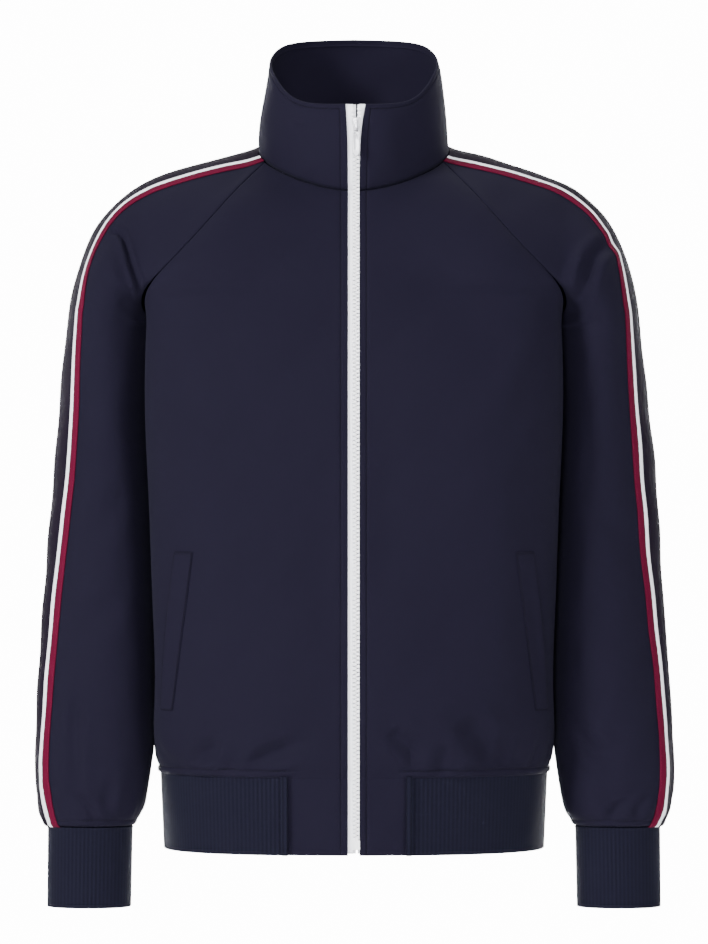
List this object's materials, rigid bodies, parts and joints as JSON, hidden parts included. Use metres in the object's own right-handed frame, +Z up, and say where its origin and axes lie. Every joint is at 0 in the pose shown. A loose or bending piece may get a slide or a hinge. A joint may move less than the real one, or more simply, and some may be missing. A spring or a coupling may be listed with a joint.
{
  "type": "track jacket",
  "caption": "Zip-front track jacket in its worn, hollow form: raglan sleeves with striped tapes, stand collar, ribbed waistband and cuffs, slanted welt pockets and a hinged pull tab.",
  "frame": {"origin": "middle of the neck, level with the tops of the shoulders, where the wearer's shoulders hold the jacket", "axes": "+Z up along the body, from the hem to the collar; -Y out of the front, towards the zip; +X towards the wearer's left"},
  "size_m": [0.6056, 0.2557, 0.8261],
  "materials": {
    "shell": "matt navy tricot knit",
    "rib_knit": "matt navy rib knit",
    "side_tape": "knitted tape with navy, white and red stripes",
    "zip_tape": "white woven tape",
    "zip_teeth": "white moulded",
    "zip_metal": "polished"
  },
  "bodies": {
    "jacket": {"front_left": "shell", "front_right": "shell", "back": "shell", "sleeve_left": "shell", "sleeve_right": "shell", "collar": "shell", "pocket_welt_left": "shell", "pocket_welt_right": "shell", "waistband": "rib_knit", "cuff_left": "rib_knit", "cuff_right": "rib_knit", "sleeve_tape_left": "side_tape", "sleeve_tape_right": "side_tape", "zip_tape_left": "zip_tape", "zip_tape_right": "zip_tape", "zip_chain": "zip_teeth", "zip_slider": "zip_metal"},
    "pull_tab": {"pull_tab": "zip_metal"}
  },
  "joints": [
    {"name": "pull_tab_hinge", "type": "hinge", "parent": "jacket", "child": "pull_tab", "pos_m": [0.002, -0.07751, 0.01814], "axis": [-1, 0, 0], "range_deg": [0, 150]}
  ]
}
